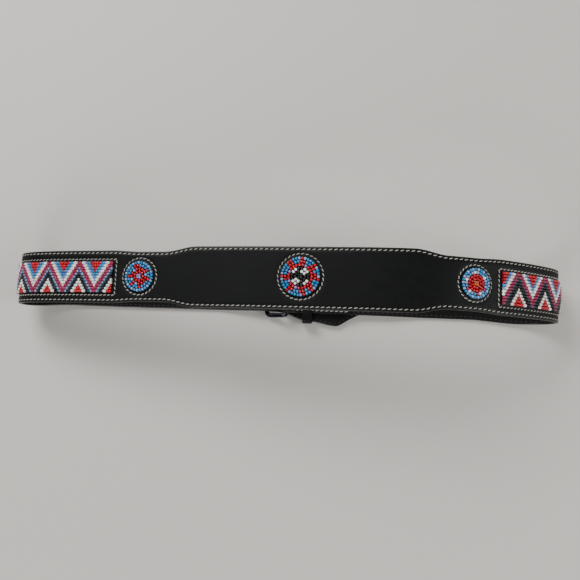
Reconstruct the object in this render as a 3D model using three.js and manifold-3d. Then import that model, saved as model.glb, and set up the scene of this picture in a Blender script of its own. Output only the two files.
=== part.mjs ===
import * as THREE from 'three';
import { mergeVertices } from 'three/addons/utils/BufferGeometryUtils.js';
import Module from 'manifold-3d';

// A black leather belt, buckled into a flattened loop that lies on its buckle side.
// Lengths are in millimetres. X runs along the loop, Y across the strap and Z up, so the
// wide beaded stretch faces up and the back stretch with the buckle lies on z = 0.
// The strap is one strip of leather: tongue, back, left turn, front, right turn, back, fold.

// Loop, measured on the middle of the leather
const loopLength = 446;
const loopHeight = 95;
const middleMedallionX = 20;

// Leather
const leatherThickness = 3;
const skivedThickness = 2;
const edgeBevel = 0.6;
const frontWidth = 48;
const neckWidth = 40;
const panelWidth = 42.4;
const backWidth = 37;
const tongueWidth = 36;
const clearance = 0.3;

// Places along the front, from the middle of the middle medallion, on both sides
const stepMiddle = 97;
const stepLength = 26;
const sideMedallionPlace = 131;
const panelSpacing = 11.2;
const backTaper = 45;

// Bead work: a bead's pitch along its row, the pitch of the rows, and how far it stands up
const beadPitch = 1.45;
const rowPitch = 2.28;
const panelColumns = 75;
const panelRows = 11;
const beadHeight = 2;
const beadEdge = 0.8;
const middleMedallionRadius = 15.2;
const leftMedallionRadius = 12.3;
const rightMedallionRadius = 11.6;

// How far each field of beads sits above the middle of the strap's width, sewn by eye
const middleMedallionRise = 0.9;
const leftMedallionRise = 0;
const rightMedallionRise = 0.7;
const leftPanelRise = -0.6;
const rightPanelRise = -0.7;

// Buckle
const wireDiameter = 3.8;
const heelBarX = 4;
const barSpacing = 18;
const frameInnerWidth = 38.6;
const frameCorner = 3.6;
const prongDiameter = 2.8;
const prongOverhang = 3.5;
const prongCurlWall = 1.6;
const prongCurlWidth = 3.4;
const prongTipShare = 0.6;
const toeNotchDepth = 1.5;
const floorGap = 0.2;

// How far the prong's hole lies from half way between the bars, towards the heel bar
const prongHoleShift = -0.3;

// Tongue, fold and keeper
const tipReach = 75;
const tipLength = 33;
const holePitch = 25;
const holeCount = 5;
const holesPastProng = 2;
const holeLength = 9;
const holeWidth = 4.5;
const flapLength = 55;
const flapRiseFolds = 4;
const slotLength = 14;
const keeperReach = 17;
const keeperWidth = 8;
const keeperThickness = 1.6;
const keeperCorner = 3;
const keeperDroop = 7;
const tipDroop = 10.5;
const tipLift = 0.5;
const layRun = 45;

// How finely the round and curved shapes are cut into flat faces
const measurePoints = 40;
const finePoints = 60;
const loopPoints = 10;
const tongueSteps = 34;
const buckleSteps = 24;
const foldSteps = 12;
const flapSteps = 14;
const panelSteps = 26;
const medallionSides = 32;
const wireSides = 10;
const prongSides = 8;
const prongSteps = 22;
const holeCurveSteps = 6;
const curlCurveSteps = 10;
const frameCornerSteps = 6;
const frameSideSteps = 5;
const keeperCornerSteps = 5;
const keeperSideSteps = 3;
const mergeDistance = 1e-4;

// The loop's shape: control points of a closed smooth curve, from the left turn over the
// front to the right turn and home along the flat back. Both columns are shares: along as
// a share of half the loop's length, up as a share of its height.
const loopRows = [
  { along: -1.00, up: 0.13 },
  { along: -1.00, up: 0.44 },
  { along: -0.80, up: 0.62 },
  { along: -0.50, up: 0.78 },
  { along: -0.15, up: 0.99 },
  { along: 0.20, up: 1.10 },
  { along: 0.52, up: 1.20 },
  { along: 0.775, up: 0.91 },
  { along: 0.975, up: 0.50 },
  { along: 1.025, up: 0.29 },
  { along: 0.97, up: 0 },
  { along: 0.62, up: 0 },
  { along: 0.20, up: 0 },
  { along: -0.25, up: 0 },
  { along: -0.65, up: 0 },
  { along: -0.91, up: 0 },
];
const firstCurvedRow = 14;
const lastCurvedRow = 26;

// The tongue's pointed end: along as a share of the tip's length, half as a share of the
// tongue's half width, straight from row to row
const tipRows = [
  { along: 0, half: 1 },
  { along: 0.08, half: 0.95 },
  { along: 0.34, half: 0.64 },
  { along: 0.7, half: 0.3 },
  { along: 0.94, half: 0.12 },
  { along: 1, half: 0.05 },
];

// Heights of the layers where the buckle lies between the strap and the floor
const wireRadius = wireDiameter / 2;
const prongRadius = prongDiameter / 2;
const toeBarX = heelBarX - barSpacing;
const toeBarZ = floorGap + prongDiameter + clearance - toeNotchDepth + wireRadius;
const tongueAtToe = toeBarZ + wireRadius + clearance;
const tongueAtHeel = floorGap + keeperThickness + clearance;
const foldRadius = wireRadius + clearance + skivedThickness / 2;
const heelBarZ = tongueAtHeel + leatherThickness + clearance + skivedThickness / 2 + foldRadius;
const strapAtHeel = tongueAtHeel + leatherThickness + clearance;
const keeperX = heelBarX + keeperReach;
const tipX = heelBarX + tipReach;
const prongHoleX = (toeBarX + heelBarX) / 2 + prongHoleShift;
const tongueFlatX = heelBarX - foldRadius - skivedThickness;

// Outer face of the tongue above the floor, from left to right
const tongueLiftRows = [
  { x: toeBarX - layRun, lift: 0 },
  { x: toeBarX, lift: tongueAtToe },
  { x: tongueFlatX, lift: tongueAtHeel },
  { x: keeperX + keeperWidth / 2, lift: tongueAtHeel },
  { x: tipX, lift: tipLift },
];

// Outer face of the strap that carries the buckle, above the tongue that lies under it
const strapLiftRows = [
  { x: heelBarX, lift: strapAtHeel },
  { x: keeperX + keeperWidth / 2, lift: strapAtHeel },
  { x: tipX, lift: tipLift + leatherThickness + clearance },
  { x: tipX + layRun, lift: 0 },
];

// How far the tongue hangs down across the strap, in a keeper that is loose on it
const tongueDroopRows = [
  { x: prongHoleX, droop: 0 },
  { x: keeperX, droop: keeperDroop },
  { x: tipX - tipLength, droop: tipDroop },
];

const smooth = (share) => share * share * (3 - 2 * share);
const straight = (share) => share;

// Value of a table's column at a place, eased from row to row
function readRows(rows, place, key, value, ease = smooth) {
  if (place <= rows[0][key]) return rows[0][value];
  for (let i = 1; i < rows.length; i += 1) {
    const low = rows[i - 1];
    const high = rows[i];
    if (place <= high[key]) {
      const share = (place - low[key]) / (high[key] - low[key]);
      return low[value] + (high[value] - low[value]) * ease(share);
    }
  }
  return rows[rows.length - 1][value];
}

const tongueLift = (x) => readRows(tongueLiftRows, x, 'x', 'lift');
const strapLift = (x) => readRows(strapLiftRows, x, 'x', 'lift');
const tongueDroop = (x) => readRows(tongueDroopRows, x, 'x', 'droop');

// One point of the closed cubic B-spline through the loop's rows
function loopPoint(segment, share) {
  const weights = [
    (1 - share) ** 3 / 6,
    (3 * share ** 3 - 6 * share ** 2 + 4) / 6,
    (-3 * share ** 3 + 3 * share ** 2 + 3 * share + 1) / 6,
    share ** 3 / 6,
  ];
  const point = { x: 0, z: 0 };
  weights.forEach((weight, i) => {
    const row = loopRows[(segment + i - 1 + loopRows.length) % loopRows.length];
    point.x += weight * row.along;
    point.z += weight * row.up;
  });
  return point;
}

// The curve is scaled so that the loop has its named length and height
function loopScale() {
  const points = [];
  for (let i = 0; i < loopRows.length * measurePoints; i += 1) {
    points.push(loopPoint(Math.floor(i / measurePoints), (i % measurePoints) / measurePoints));
  }
  const xs = points.map((p) => p.x);
  const zs = points.map((p) => p.z);
  const left = Math.min(...xs);
  const right = Math.max(...xs);
  const low = Math.min(...zs);
  const high = Math.max(...zs);
  return { middle: (left + right) / 2, width: right - left, low, height: high - low };
}

const scale = loopScale();

function loopCentre(segment, share) {
  const raw = loopPoint(segment, share);
  return {
    x: ((raw.x - scale.middle) / scale.width) * loopLength,
    z: ((raw.z - scale.low) / scale.height) * loopHeight + leatherThickness / 2,
  };
}

// The curved part of the loop as a list of points, with the distance along it from the
// middle medallion's centre, negative to the left
function curvedPoints(perSegment) {
  const points = [];
  for (let segment = firstCurvedRow; segment <= lastCurvedRow; segment += 1) {
    for (let i = 0; i < perSegment; i += 1) {
      points.push(loopCentre(segment % loopRows.length, i / perSegment));
    }
  }
  points.push(loopCentre((lastCurvedRow + 1) % loopRows.length, 0));
  let run = 0;
  points.forEach((p, i) => {
    if (i > 0) run += Math.hypot(p.x - points[i - 1].x, p.z - points[i - 1].z);
    p.run = run;
  });
  const front = points.findIndex((p) => p.z > loopHeight / 2 && p.x >= middleMedallionX);
  const before = points[front - 1];
  const after = points[front];
  const share = (middleMedallionX - before.x) / (after.x - before.x);
  const middleRun = before.run + share * (after.run - before.run);
  points.forEach((p) => { p.run -= middleRun; });
  return points;
}

const fineLine = curvedPoints(finePoints);

// A point at a distance along the front, across the strap and above its outer face
function onFront(run, across, above) {
  let i = fineLine.findIndex((p) => p.run >= run);
  if (i < 1) i = i < 0 ? fineLine.length - 1 : 1;
  const a = fineLine[i - 1];
  const b = fineLine[i];
  const share = (run - a.run) / (b.run - a.run);
  const length = Math.hypot(b.x - a.x, b.z - a.z);
  const offset = leatherThickness / 2 + above;
  return new THREE.Vector3(
    a.x + share * (b.x - a.x) - (offset * (b.z - a.z)) / length,
    across,
    a.z + share * (b.z - a.z) + (offset * (b.x - a.x)) / length,
  );
}

const panelStart = sideMedallionPlace + leftMedallionRadius + panelSpacing;
const panelLength = panelColumns * beadPitch;
const panelEnd = panelStart + panelLength;

// The strap's width by the distance from the middle medallion
const widthRows = [
  { run: stepMiddle - stepLength / 2, width: frontWidth },
  { run: stepMiddle + stepLength / 2, width: neckWidth },
  { run: sideMedallionPlace, width: neckWidth },
  { run: panelStart + rowPitch, width: panelWidth },
  { run: panelEnd, width: panelWidth },
  { run: panelEnd + backTaper, width: backWidth },
];

// Stations of the strap in order from the tongue's point to the end of the flap. Each has
// its middle, its two edges across the strap and its thickness.
function tongueStations() {
  const stations = [];
  const tipStart = tipX - tipLength;
  const end = toeBarX - layRun;
  const places = tipRows.map((row) => tipStart + tipLength * row.along).reverse();
  for (let i = 1; i <= tongueSteps; i += 1) {
    places.push(tipStart + (end - tipStart) * (i / tongueSteps));
  }
  places.forEach((x) => {
    const along = (x - tipStart) / tipLength;
    const half = (tongueWidth / 2) * readRows(tipRows, along, 'along', 'half', straight);
    const middle = -tongueDroop(x);
    stations.push({
      x,
      z: tongueLift(x) + leatherThickness / 2,
      low: middle - half,
      high: middle + half,
      thickness: leatherThickness,
    });
  });
  return stations;
}

function loopStations() {
  return curvedPoints(loopPoints).map((p) => {
    const width = readRows(widthRows, Math.abs(p.run), 'run', 'width');
    return { x: p.x, z: p.z, low: -width / 2, high: width / 2, thickness: leatherThickness };
  });
}

function layerThickness(x) {
  const rows = [
    { x: heelBarX + foldRadius, thickness: skivedThickness },
    { x: heelBarX + flapLength / 2, thickness: leatherThickness },
  ];
  return readRows(rows, x, 'x', 'thickness');
}

function buckleStations() {
  const stations = [];
  const start = tipX + layRun;
  for (let i = 0; i < buckleSteps; i += 1) {
    const x = start + (heelBarX - start) * (i / buckleSteps);
    const thickness = layerThickness(x);
    stations.push({ x, z: strapLift(x) + thickness / 2, thickness });
  }
  return stations;
}

function foldStations() {
  const stations = [];
  for (let i = 0; i <= foldSteps; i += 1) {
    const angle = -Math.PI / 2 - (Math.PI * i) / foldSteps;
    stations.push({
      x: heelBarX + foldRadius * Math.cos(angle),
      z: heelBarZ + foldRadius * Math.sin(angle),
      thickness: skivedThickness,
    });
  }
  return stations;
}

// The skived flap comes down on the strap's inner face behind the bar
function flapMiddle(x) {
  const rows = [
    { x: heelBarX, z: heelBarZ + foldRadius },
    { x: heelBarX + foldRadius * flapRiseFolds, z: 0 },
  ];
  const resting = strapLift(x) + layerThickness(x) + clearance + skivedThickness / 2;
  const share = readRows(rows, x, 'x', 'z') / (heelBarZ + foldRadius);
  return resting + (heelBarZ + foldRadius - resting) * share;
}

function flapStations() {
  const stations = [];
  for (let i = 1; i <= flapSteps; i += 1) {
    const x = heelBarX + flapLength * (i / flapSteps);
    stations.push({ x, z: flapMiddle(x), thickness: skivedThickness });
  }
  return stations;
}

function strapStations() {
  const folded = [...buckleStations(), ...foldStations(), ...flapStations()];
  folded.forEach((station) => {
    station.low = -backWidth / 2;
    station.high = backWidth / 2;
  });
  return [...tongueStations(), ...loopStations(), ...folded];
}

// A bevelled rectangle of leather round each station, square to the strap's run
function leatherSection(station, before, after) {
  const dx = after.x - before.x;
  const dz = after.z - before.z;
  const length = Math.hypot(dx, dz);
  const outX = -dz / length;
  const outZ = dx / length;
  const half = station.thickness / 2;
  const quarter = (station.high - station.low) / 4;
  const bevel = Math.min(edgeBevel, quarter);
  const corners = [
    [station.low + bevel, half],
    [station.high - bevel, half],
    [station.high, half - bevel],
    [station.high, bevel - half],
    [station.high - bevel, -half],
    [station.low + bevel, -half],
    [station.low, bevel - half],
    [station.low, half - bevel],
  ];
  return corners.map(([across, out]) => new THREE.Vector3(
    station.x + outX * out,
    across,
    station.z + outZ * out,
  ));
}

// Skin over a row of equal loops of points, with flat caps or closed on itself
function loft(loops, ring = false) {
  const sides = loops[0].length;
  const positions = [];
  const index = [];
  loops.flat().forEach((p) => positions.push(p.x, p.y, p.z));
  const spans = ring ? loops.length : loops.length - 1;
  for (let i = 0; i < spans; i += 1) {
    const here = i * sides;
    const next = ((i + 1) % loops.length) * sides;
    for (let j = 0; j < sides; j += 1) {
      const k = (j + 1) % sides;
      index.push(here + j, next + j, next + k, here + j, next + k, here + k);
    }
  }
  if (!ring) {
    [0, loops.length - 1].forEach((end) => {
      const middle = new THREE.Vector3();
      loops[end].forEach((p) => middle.addScaledVector(p, 1 / sides));
      const centre = positions.length / 3;
      positions.push(middle.x, middle.y, middle.z);
      for (let j = 0; j < sides; j += 1) {
        const a = end * sides + j;
        const b = end * sides + ((j + 1) % sides);
        index.push(...(end === 0 ? [centre, a, b] : [centre, b, a]));
      }
    });
  }
  const geometry = new THREE.BufferGeometry();
  geometry.setAttribute('position', new THREE.Float32BufferAttribute(positions, 3));
  geometry.setIndex(index);
  return faceOut(geometry);
}

// Turns every face over if the skin was wound inside out
function faceOut(geometry) {
  const position = geometry.getAttribute('position');
  const index = Array.from(geometry.getIndex().array);
  const corner = (i) => new THREE.Vector3().fromBufferAttribute(position, index[i]);
  let volume = 0;
  for (let i = 0; i < index.length; i += 3) {
    volume += corner(i).dot(corner(i + 1).cross(corner(i + 2)));
  }
  if (volume < 0) {
    for (let i = 0; i < index.length; i += 3) {
      [index[i + 1], index[i + 2]] = [index[i + 2], index[i + 1]];
    }
    geometry.setIndex(index);
  }
  return geometry;
}

const wasm = await Module();
wasm.setup();

function toSolid(geometry) {
  const bare = new THREE.BufferGeometry();
  bare.setAttribute('position', geometry.getAttribute('position'));
  if (geometry.getIndex()) bare.setIndex(geometry.getIndex());
  const merged = mergeVertices(bare, mergeDistance);
  return new wasm.Manifold(new wasm.Mesh({
    numProp: 3,
    vertProperties: new Float32Array(merged.getAttribute('position').array),
    triVerts: new Uint32Array(merged.getIndex().array),
  }));
}

function toGeometry(solid) {
  const mesh = solid.getMesh();
  const geometry = new THREE.BufferGeometry();
  geometry.setAttribute('position', new THREE.Float32BufferAttribute(mesh.vertProperties, 3));
  geometry.setIndex(Array.from(mesh.triVerts));
  return geometry;
}

// Strap: the lofted strip with its prong holes and the slot that the prong's curl turns in
function strapGeometry() {
  const stations = strapStations();
  const loops = stations.map((station, i) => leatherSection(
    station,
    stations[Math.max(0, i - 1)],
    stations[Math.min(stations.length - 1, i + 1)],
  ));
  let strap = toSolid(loft(loops));
  for (let i = 0; i < holeCount; i += 1) {
    const x = prongHoleX + holePitch * (i + 1 + holesPastProng - holeCount);
    strap = strap.subtract(toSolid(holeGeometry(x)));
  }
  return toGeometry(strap.subtract(toSolid(slotGeometry())));
}

function holeGeometry(x) {
  const straight = (holeLength - holeWidth) / 2;
  const shape = new THREE.Shape();
  shape.absarc(straight, 0, holeWidth / 2, -Math.PI / 2, Math.PI / 2);
  shape.absarc(-straight, 0, holeWidth / 2, Math.PI / 2, (3 * Math.PI) / 2);
  const bottom = -leatherThickness;
  const top = tongueLift(x) + leatherThickness + clearance / 2;
  const hole = new THREE.ExtrudeGeometry(shape, {
    depth: top - bottom,
    bevelEnabled: false,
    curveSegments: holeCurveSteps,
  });
  hole.translate(x, -tongueDroop(x), bottom);
  return hole;
}

function slotGeometry() {
  const bottom = strapAtHeel - clearance / 2;
  const height = flapRiseFolds * foldRadius + 2 * skivedThickness;
  const slot = new THREE.BoxGeometry(slotLength, prongCurlWidth + 2 * clearance, height);
  const left = heelBarX - foldRadius - skivedThickness / 2 - clearance;
  slot.translate(left + slotLength / 2, 0, bottom + height / 2);
  return slot;
}

// Bead panels: low slabs that follow the strap's outer face round the two ends of the loop
function panelGeometry(side, rise) {
  const half = (panelRows * rowPitch) / 2;
  const floor = clearance;
  const top = clearance + beadHeight;
  const loops = [];
  for (let i = 0; i <= panelSteps; i += 1) {
    const run = side * (panelStart + panelLength * (i / panelSteps));
    loops.push([
      onFront(run, rise - half, floor),
      onFront(run, rise + half, floor),
      onFront(run, rise + half, top - beadEdge),
      onFront(run, rise + half - beadEdge, top),
      onFront(run, rise - half + beadEdge, top),
      onFront(run, rise - half, top - beadEdge),
    ]);
  }
  return loft(loops);
}

// Medallions: round bead fields, flat on top with a rounded rim
function medallionGeometry(place, radius, rise) {
  const top = clearance + beadHeight;
  const rings = [
    { radius: radius / 2, above: clearance },
    { radius, above: clearance },
    { radius, above: top - beadEdge },
    { radius: radius - beadEdge, above: top },
    { radius: radius / 2, above: top },
  ];
  return loft(rings.map((ring) => {
    const loop = [];
    for (let i = 0; i < medallionSides; i += 1) {
      const angle = (2 * Math.PI * i) / medallionSides;
      const run = place + ring.radius * Math.cos(angle);
      loop.push(onFront(run, rise + ring.radius * Math.sin(angle), ring.above));
    }
    return loop;
  }));
}

// Points of a rounded rectangle, with more of them in the corners than along the sides
function roundedRectangle(left, right, low, high, corner, cornerSteps, sideSteps) {
  const centres = [
    { x: right - corner, y: low + corner, start: -Math.PI / 2 },
    { x: right - corner, y: high - corner, start: 0 },
    { x: left + corner, y: high - corner, start: Math.PI / 2 },
    { x: left + corner, y: low + corner, start: Math.PI },
  ];
  const points = [];
  centres.forEach((centre, i) => {
    for (let j = 0; j <= cornerSteps; j += 1) {
      const angle = centre.start + (Math.PI / 2) * (j / cornerSteps);
      const x = centre.x + corner * Math.cos(angle);
      const y = centre.y + corner * Math.sin(angle);
      points.push({ x, y, outX: Math.cos(angle), outY: Math.sin(angle) });
    }
    const next = centres[(i + 1) % 4];
    const last = points[points.length - 1];
    const goal = {
      x: next.x + corner * Math.cos(next.start),
      y: next.y + corner * Math.sin(next.start),
    };
    for (let j = 1; j < sideSteps; j += 1) {
      const share = j / sideSteps;
      const x = last.x + (goal.x - last.x) * share;
      const y = last.y + (goal.y - last.y) * share;
      points.push({ x, y, outX: last.outX, outY: last.outY });
    }
  });
  return points;
}

// Buckle frame: a bent wire rectangle whose heel bar stands higher than its toe bar
function frameGeometry() {
  const half = frameInnerWidth / 2 + wireRadius;
  const points = roundedRectangle(
    toeBarX,
    heelBarX,
    -half,
    half,
    frameCorner,
    frameCornerSteps,
    frameSideSteps,
  );
  const loops = points.map((p) => {
    const share = (p.x - toeBarX) / barSpacing;
    const z = toeBarZ + (heelBarZ - toeBarZ) * smooth(share);
    const loop = [];
    for (let i = 0; i < wireSides; i += 1) {
      const angle = (2 * Math.PI * i) / wireSides;
      const out = wireRadius * Math.cos(angle);
      loop.push(new THREE.Vector3(
        p.x + p.outX * out,
        p.y + p.outY * out,
        z + wireRadius * Math.sin(angle),
      ));
    }
    return loop;
  });
  const notchWidth = prongDiameter + 2 * clearance;
  const notch = new THREE.BoxGeometry(2 * wireDiameter, notchWidth, wireDiameter);
  const notchTop = toeBarZ - wireRadius + toeNotchDepth;
  notch.translate(toeBarX, 0, notchTop - wireRadius);
  return toGeometry(toSolid(loft(loops, true)).subtract(toSolid(notch)));
}

// Buckle prong: a wire curled round the heel bar that dives through the tongue's hole and
// lies in the toe bar's notch
function prongGeometry() {
  const holeZ = tongueLift(prongHoleX) + leatherThickness / 2;
  const lying = floorGap + prongRadius;
  const above = prongHoleX + holeLength / 2;
  const aboveZ = tongueLift(above) + leatherThickness + clearance + prongRadius;
  const under = 2 * prongHoleX - above;
  const route = new THREE.CatmullRomCurve3([
    new THREE.Vector3(heelBarX - wireRadius - clearance, 0, heelBarZ - wireRadius / 2),
    new THREE.Vector3(above, 0, aboveZ),
    new THREE.Vector3(prongHoleX, 0, holeZ),
    new THREE.Vector3(under, 0, (holeZ + lying) / 2 - prongRadius / 2),
    new THREE.Vector3(toeBarX, 0, lying),
    new THREE.Vector3(toeBarX - prongOverhang, 0, lying + clearance),
  ]);
  const loops = route.getPoints(prongSteps).map((p, i) => {
    const tangent = route.getTangent(i / prongSteps);
    const taper = i === prongSteps ? prongTipShare : 1;
    const loop = [];
    for (let j = 0; j < prongSides; j += 1) {
      const angle = (2 * Math.PI * (j + 0.5)) / prongSides;
      const out = prongRadius * taper * Math.sin(angle);
      loop.push(new THREE.Vector3(
        p.x - tangent.z * out,
        p.y + prongRadius * taper * Math.cos(angle),
        p.z + tangent.x * out,
      ));
    }
    return loop;
  });
  return toGeometry(toSolid(loft(loops)).add(toSolid(curlGeometry())));
}

function curlGeometry() {
  const inner = wireRadius + clearance;
  const shape = new THREE.Shape();
  shape.absarc(0, 0, inner + prongCurlWall, 0, 2 * Math.PI);
  const bore = new THREE.Path();
  bore.absarc(0, 0, inner, 0, 2 * Math.PI);
  shape.holes.push(bore);
  const curl = new THREE.ExtrudeGeometry(shape, {
    depth: prongCurlWidth,
    bevelEnabled: false,
    curveSegments: curlCurveSteps,
  });
  curl.translate(0, 0, -prongCurlWidth / 2);
  curl.rotateX(Math.PI / 2);
  curl.translate(heelBarX, 0, heelBarZ);
  return curl;
}

// Keeper: a leather band round the strap, its flap and the tongue behind the heel bar
function keeperGeometry() {
  const left = keeperX - keeperWidth / 2;
  const right = keeperX + keeperWidth / 2;
  const droop = tongueDroop(right);
  const low = -tongueWidth / 2 - droop - clearance - keeperThickness;
  const high = backWidth / 2 + clearance + keeperThickness;
  const bottom = floorGap;
  const flapTop = Math.max(flapMiddle(left), flapMiddle(right)) + skivedThickness / 2;
  const top = flapTop + clearance + keeperThickness;
  const points = roundedRectangle(
    low,
    high,
    bottom,
    top,
    keeperCorner,
    keeperCornerSteps,
    keeperSideSteps,
  );
  const bevel = edgeBevel / 2;
  const loops = points.map((p) => {
    const corners = [
      [left, -bevel],
      [left + bevel, 0],
      [right - bevel, 0],
      [right, -bevel],
      [right, bevel - keeperThickness],
      [right - bevel, -keeperThickness],
      [left + bevel, -keeperThickness],
      [left, bevel - keeperThickness],
    ];
    return corners.map(([x, out]) => new THREE.Vector3(x, p.x + p.outX * out, p.y + p.outY * out));
  });
  return loft(loops, true);
}

const leather = { color: 0x161616, roughness: 0.55, metalness: 0 };
const beads = { color: 0xa31f2b, roughness: 0.3, metalness: 0 };
const blueBeads = { color: 0x3f8fb4, roughness: 0.3, metalness: 0 };
const gunmetal = { color: 0x3a3a3d, roughness: 0.35, metalness: 1 };

const belt = new THREE.Group();

function addPiece(name, geometry, finish) {
  const mesh = new THREE.Mesh(geometry, new THREE.MeshStandardMaterial(finish));
  mesh.name = name;
  belt.add(mesh);
}

addPiece('strap', strapGeometry(), leather);
addPiece('bead_panel_left', panelGeometry(-1, leftPanelRise), beads);
addPiece('bead_panel_right', panelGeometry(1, rightPanelRise), beads);
addPiece(
  'medallion_middle',
  medallionGeometry(0, middleMedallionRadius, middleMedallionRise),
  beads,
);
addPiece(
  'medallion_left',
  medallionGeometry(-sideMedallionPlace, leftMedallionRadius, leftMedallionRise),
  blueBeads,
);
addPiece(
  'medallion_right',
  medallionGeometry(sideMedallionPlace, rightMedallionRadius, rightMedallionRise),
  blueBeads,
);
addPiece('buckle_frame', frameGeometry(), gunmetal);
addPiece('buckle_prong', prongGeometry(), gunmetal);
addPiece('keeper', keeperGeometry(), leather);

// The belt stands on z = 0, with the middle of its box above the origin
const box = new THREE.Box3().setFromObject(belt);
belt.position.set(
  -(box.min.x + box.max.x) / 2,
  -(box.min.y + box.max.y) / 2,
  -box.min.z,
);
belt.updateMatrixWorld(true);

export default belt;
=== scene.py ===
# A black leather belt with rows and rings of seed beads, buckled into a flattened loop that
# lies on its buckle side. Lengths are in metres. X runs along the loop, Y across the strap
# and Z up, so the beaded front faces up and the back with the buckle lies on the floor.
import math

import bpy
import numpy as np
from mathutils import Matrix, Vector


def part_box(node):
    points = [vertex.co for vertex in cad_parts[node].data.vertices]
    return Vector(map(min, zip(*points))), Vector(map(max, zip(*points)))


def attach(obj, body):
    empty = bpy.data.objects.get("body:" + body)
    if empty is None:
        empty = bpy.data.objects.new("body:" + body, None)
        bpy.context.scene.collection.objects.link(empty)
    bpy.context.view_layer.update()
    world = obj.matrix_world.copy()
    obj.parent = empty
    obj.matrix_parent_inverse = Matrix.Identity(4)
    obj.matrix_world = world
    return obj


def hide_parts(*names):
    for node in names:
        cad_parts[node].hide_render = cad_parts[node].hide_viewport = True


MM = 0.001

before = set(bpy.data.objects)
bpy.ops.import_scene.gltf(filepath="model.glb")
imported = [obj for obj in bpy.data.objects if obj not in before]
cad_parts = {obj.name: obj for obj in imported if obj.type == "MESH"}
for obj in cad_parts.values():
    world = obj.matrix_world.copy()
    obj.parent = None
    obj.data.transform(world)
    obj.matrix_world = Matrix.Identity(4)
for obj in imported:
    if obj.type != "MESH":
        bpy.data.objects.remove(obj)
bpy.context.view_layer.update()


# Camera
# It stands over the front of the belt, a little to the right and below the strap's middle,
# where the photograph was taken from. Its place comes from fitting the loop to the picture.
PHOTO_PIXELS = 580
FOCAL_PIXELS = 800
SENSOR = 36
CAMERA_PLACE = Vector((62.8, -79.8, 683.4)) * MM
CAMERA_AIM = Vector((12.8, -7.7, 95.0)) * MM
CAMERA_ROLL = math.radians(-2.55)
NEAREST_SEEN = 10 * MM
FARTHEST_SEEN = 20

camera = bpy.data.objects.new("camera", bpy.data.cameras.new("camera"))
bpy.context.scene.collection.objects.link(camera)
camera.data.sensor_width = SENSOR
camera.data.lens = SENSOR * FOCAL_PIXELS / PHOTO_PIXELS
camera.data.clip_start = NEAREST_SEEN
camera.data.clip_end = FARTHEST_SEEN
sight = (CAMERA_AIM - CAMERA_PLACE).normalized()
camera_right = sight.cross(Vector((0, 1, 0))).normalized()
camera_up = Matrix.Rotation(CAMERA_ROLL, 3, sight) @ camera_right.cross(sight)
camera_right = sight.cross(camera_up)
camera_axes = Matrix((camera_right, camera_up, -sight)).transposed().to_4x4()
camera.matrix_world = Matrix.Translation(CAMERA_PLACE) @ camera_axes
bpy.context.scene.camera = camera


# Strap
# One strip of black bridle leather, wide over the front and narrow at the back, and skived
# thin where it folds round the buckle's heel bar. Its edges are rounded and burnished, and
# a groove is scored along both of them, on both faces, for the stitches.
LEATHER = 3 * MM
SKIVED = 2 * MM
GAP = 0.3 * MM
FRONT_WIDTH = 48 * MM
NECK_WIDTH = 40 * MM
PANEL_WIDTH = 42.4 * MM
BACK_WIDTH = 37 * MM
TONGUE_WIDTH = 36 * MM
STEP_MIDDLE = 97 * MM
STEP_LENGTH = 26 * MM
BACK_TAPER = 45 * MM
MIDDLE_MEDALLION_X = 20 * MM
SIDE_MEDALLION_PLACE = 131 * MM
LEFT_MEDALLION_RADIUS = 12.3 * MM
PANEL_SPACING = 11.2 * MM
BEAD_PITCH = 1.45 * MM
ROW_PITCH = 2.28 * MM
PANEL_COLUMNS = 75
PANEL_ROWS = 11
PANEL_START = SIDE_MEDALLION_PLACE + LEFT_MEDALLION_RADIUS + PANEL_SPACING
PANEL_END = PANEL_START + PANEL_COLUMNS * BEAD_PITCH

strap_low, strap_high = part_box("strap")
LOOP_LENGTH = strap_high.x - strap_low.x - LEATHER
LOOP_HEIGHT = strap_high.z - LEATHER
MIDDLE_X = (strap_low.x + strap_high.x) / 2
MIDDLE_Y = strap_high.y - FRONT_WIDTH / 2

# Control points of the loop's smooth curve: shares of half its length and of its height,
# from the left turn over the front to the right turn and home along the flat back.
LOOP_ROWS = (
    (-1.00, 0.13),
    (-1.00, 0.44),
    (-0.80, 0.62),
    (-0.50, 0.78),
    (-0.15, 0.99),
    (0.20, 1.10),
    (0.52, 1.20),
    (0.775, 0.91),
    (0.975, 0.50),
    (1.025, 0.29),
    (0.97, 0),
    (0.62, 0),
    (0.20, 0),
    (-0.25, 0),
    (-0.65, 0),
    (-0.91, 0),
)
FIRST_CURVED_ROW = 14
LAST_CURVED_ROW = 27

# Buckle, fold and keeper, which the strap's back runs round
WIRE_RADIUS = 1.9 * MM
PRONG_RADIUS = 1.4 * MM
HEEL_BAR_X = 4 * MM
TOE_BAR_X = -14 * MM
FLOOR_GAP = 0.2 * MM
TOE_NOTCH = 1.5 * MM
KEEPER_THICKNESS = 1.6 * MM
KEEPER_WIDTH = 8 * MM
KEEPER_X = 21 * MM
TIP_X = 79 * MM
TIP_LENGTH = 33 * MM
TIP_LIFT = 0.5 * MM
LAY_RUN = 45 * MM
FLAP_LENGTH = 55 * MM
FLAP_RUN_FOLDS = 4
PRONG_HOLE_X = -5.3 * MM
HOLE_COUNT = 5
PRONG_HOLE_INDEX = 2
HOLE_PITCH = 25 * MM
HOLE_LENGTH = 9 * MM
HOLE_WIDTH = 4.5 * MM
SLOT_LENGTH = 14 * MM
SLOT_WIDTH = 4 * MM
SLOT_CUT_FOLDS = 4
HOLE_SIDES = 32
TOE_BAR_Z = FLOOR_GAP + 2 * PRONG_RADIUS + GAP - TOE_NOTCH + WIRE_RADIUS
TONGUE_AT_TOE = TOE_BAR_Z + WIRE_RADIUS + GAP
TONGUE_AT_HEEL = FLOOR_GAP + KEEPER_THICKNESS + GAP
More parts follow.
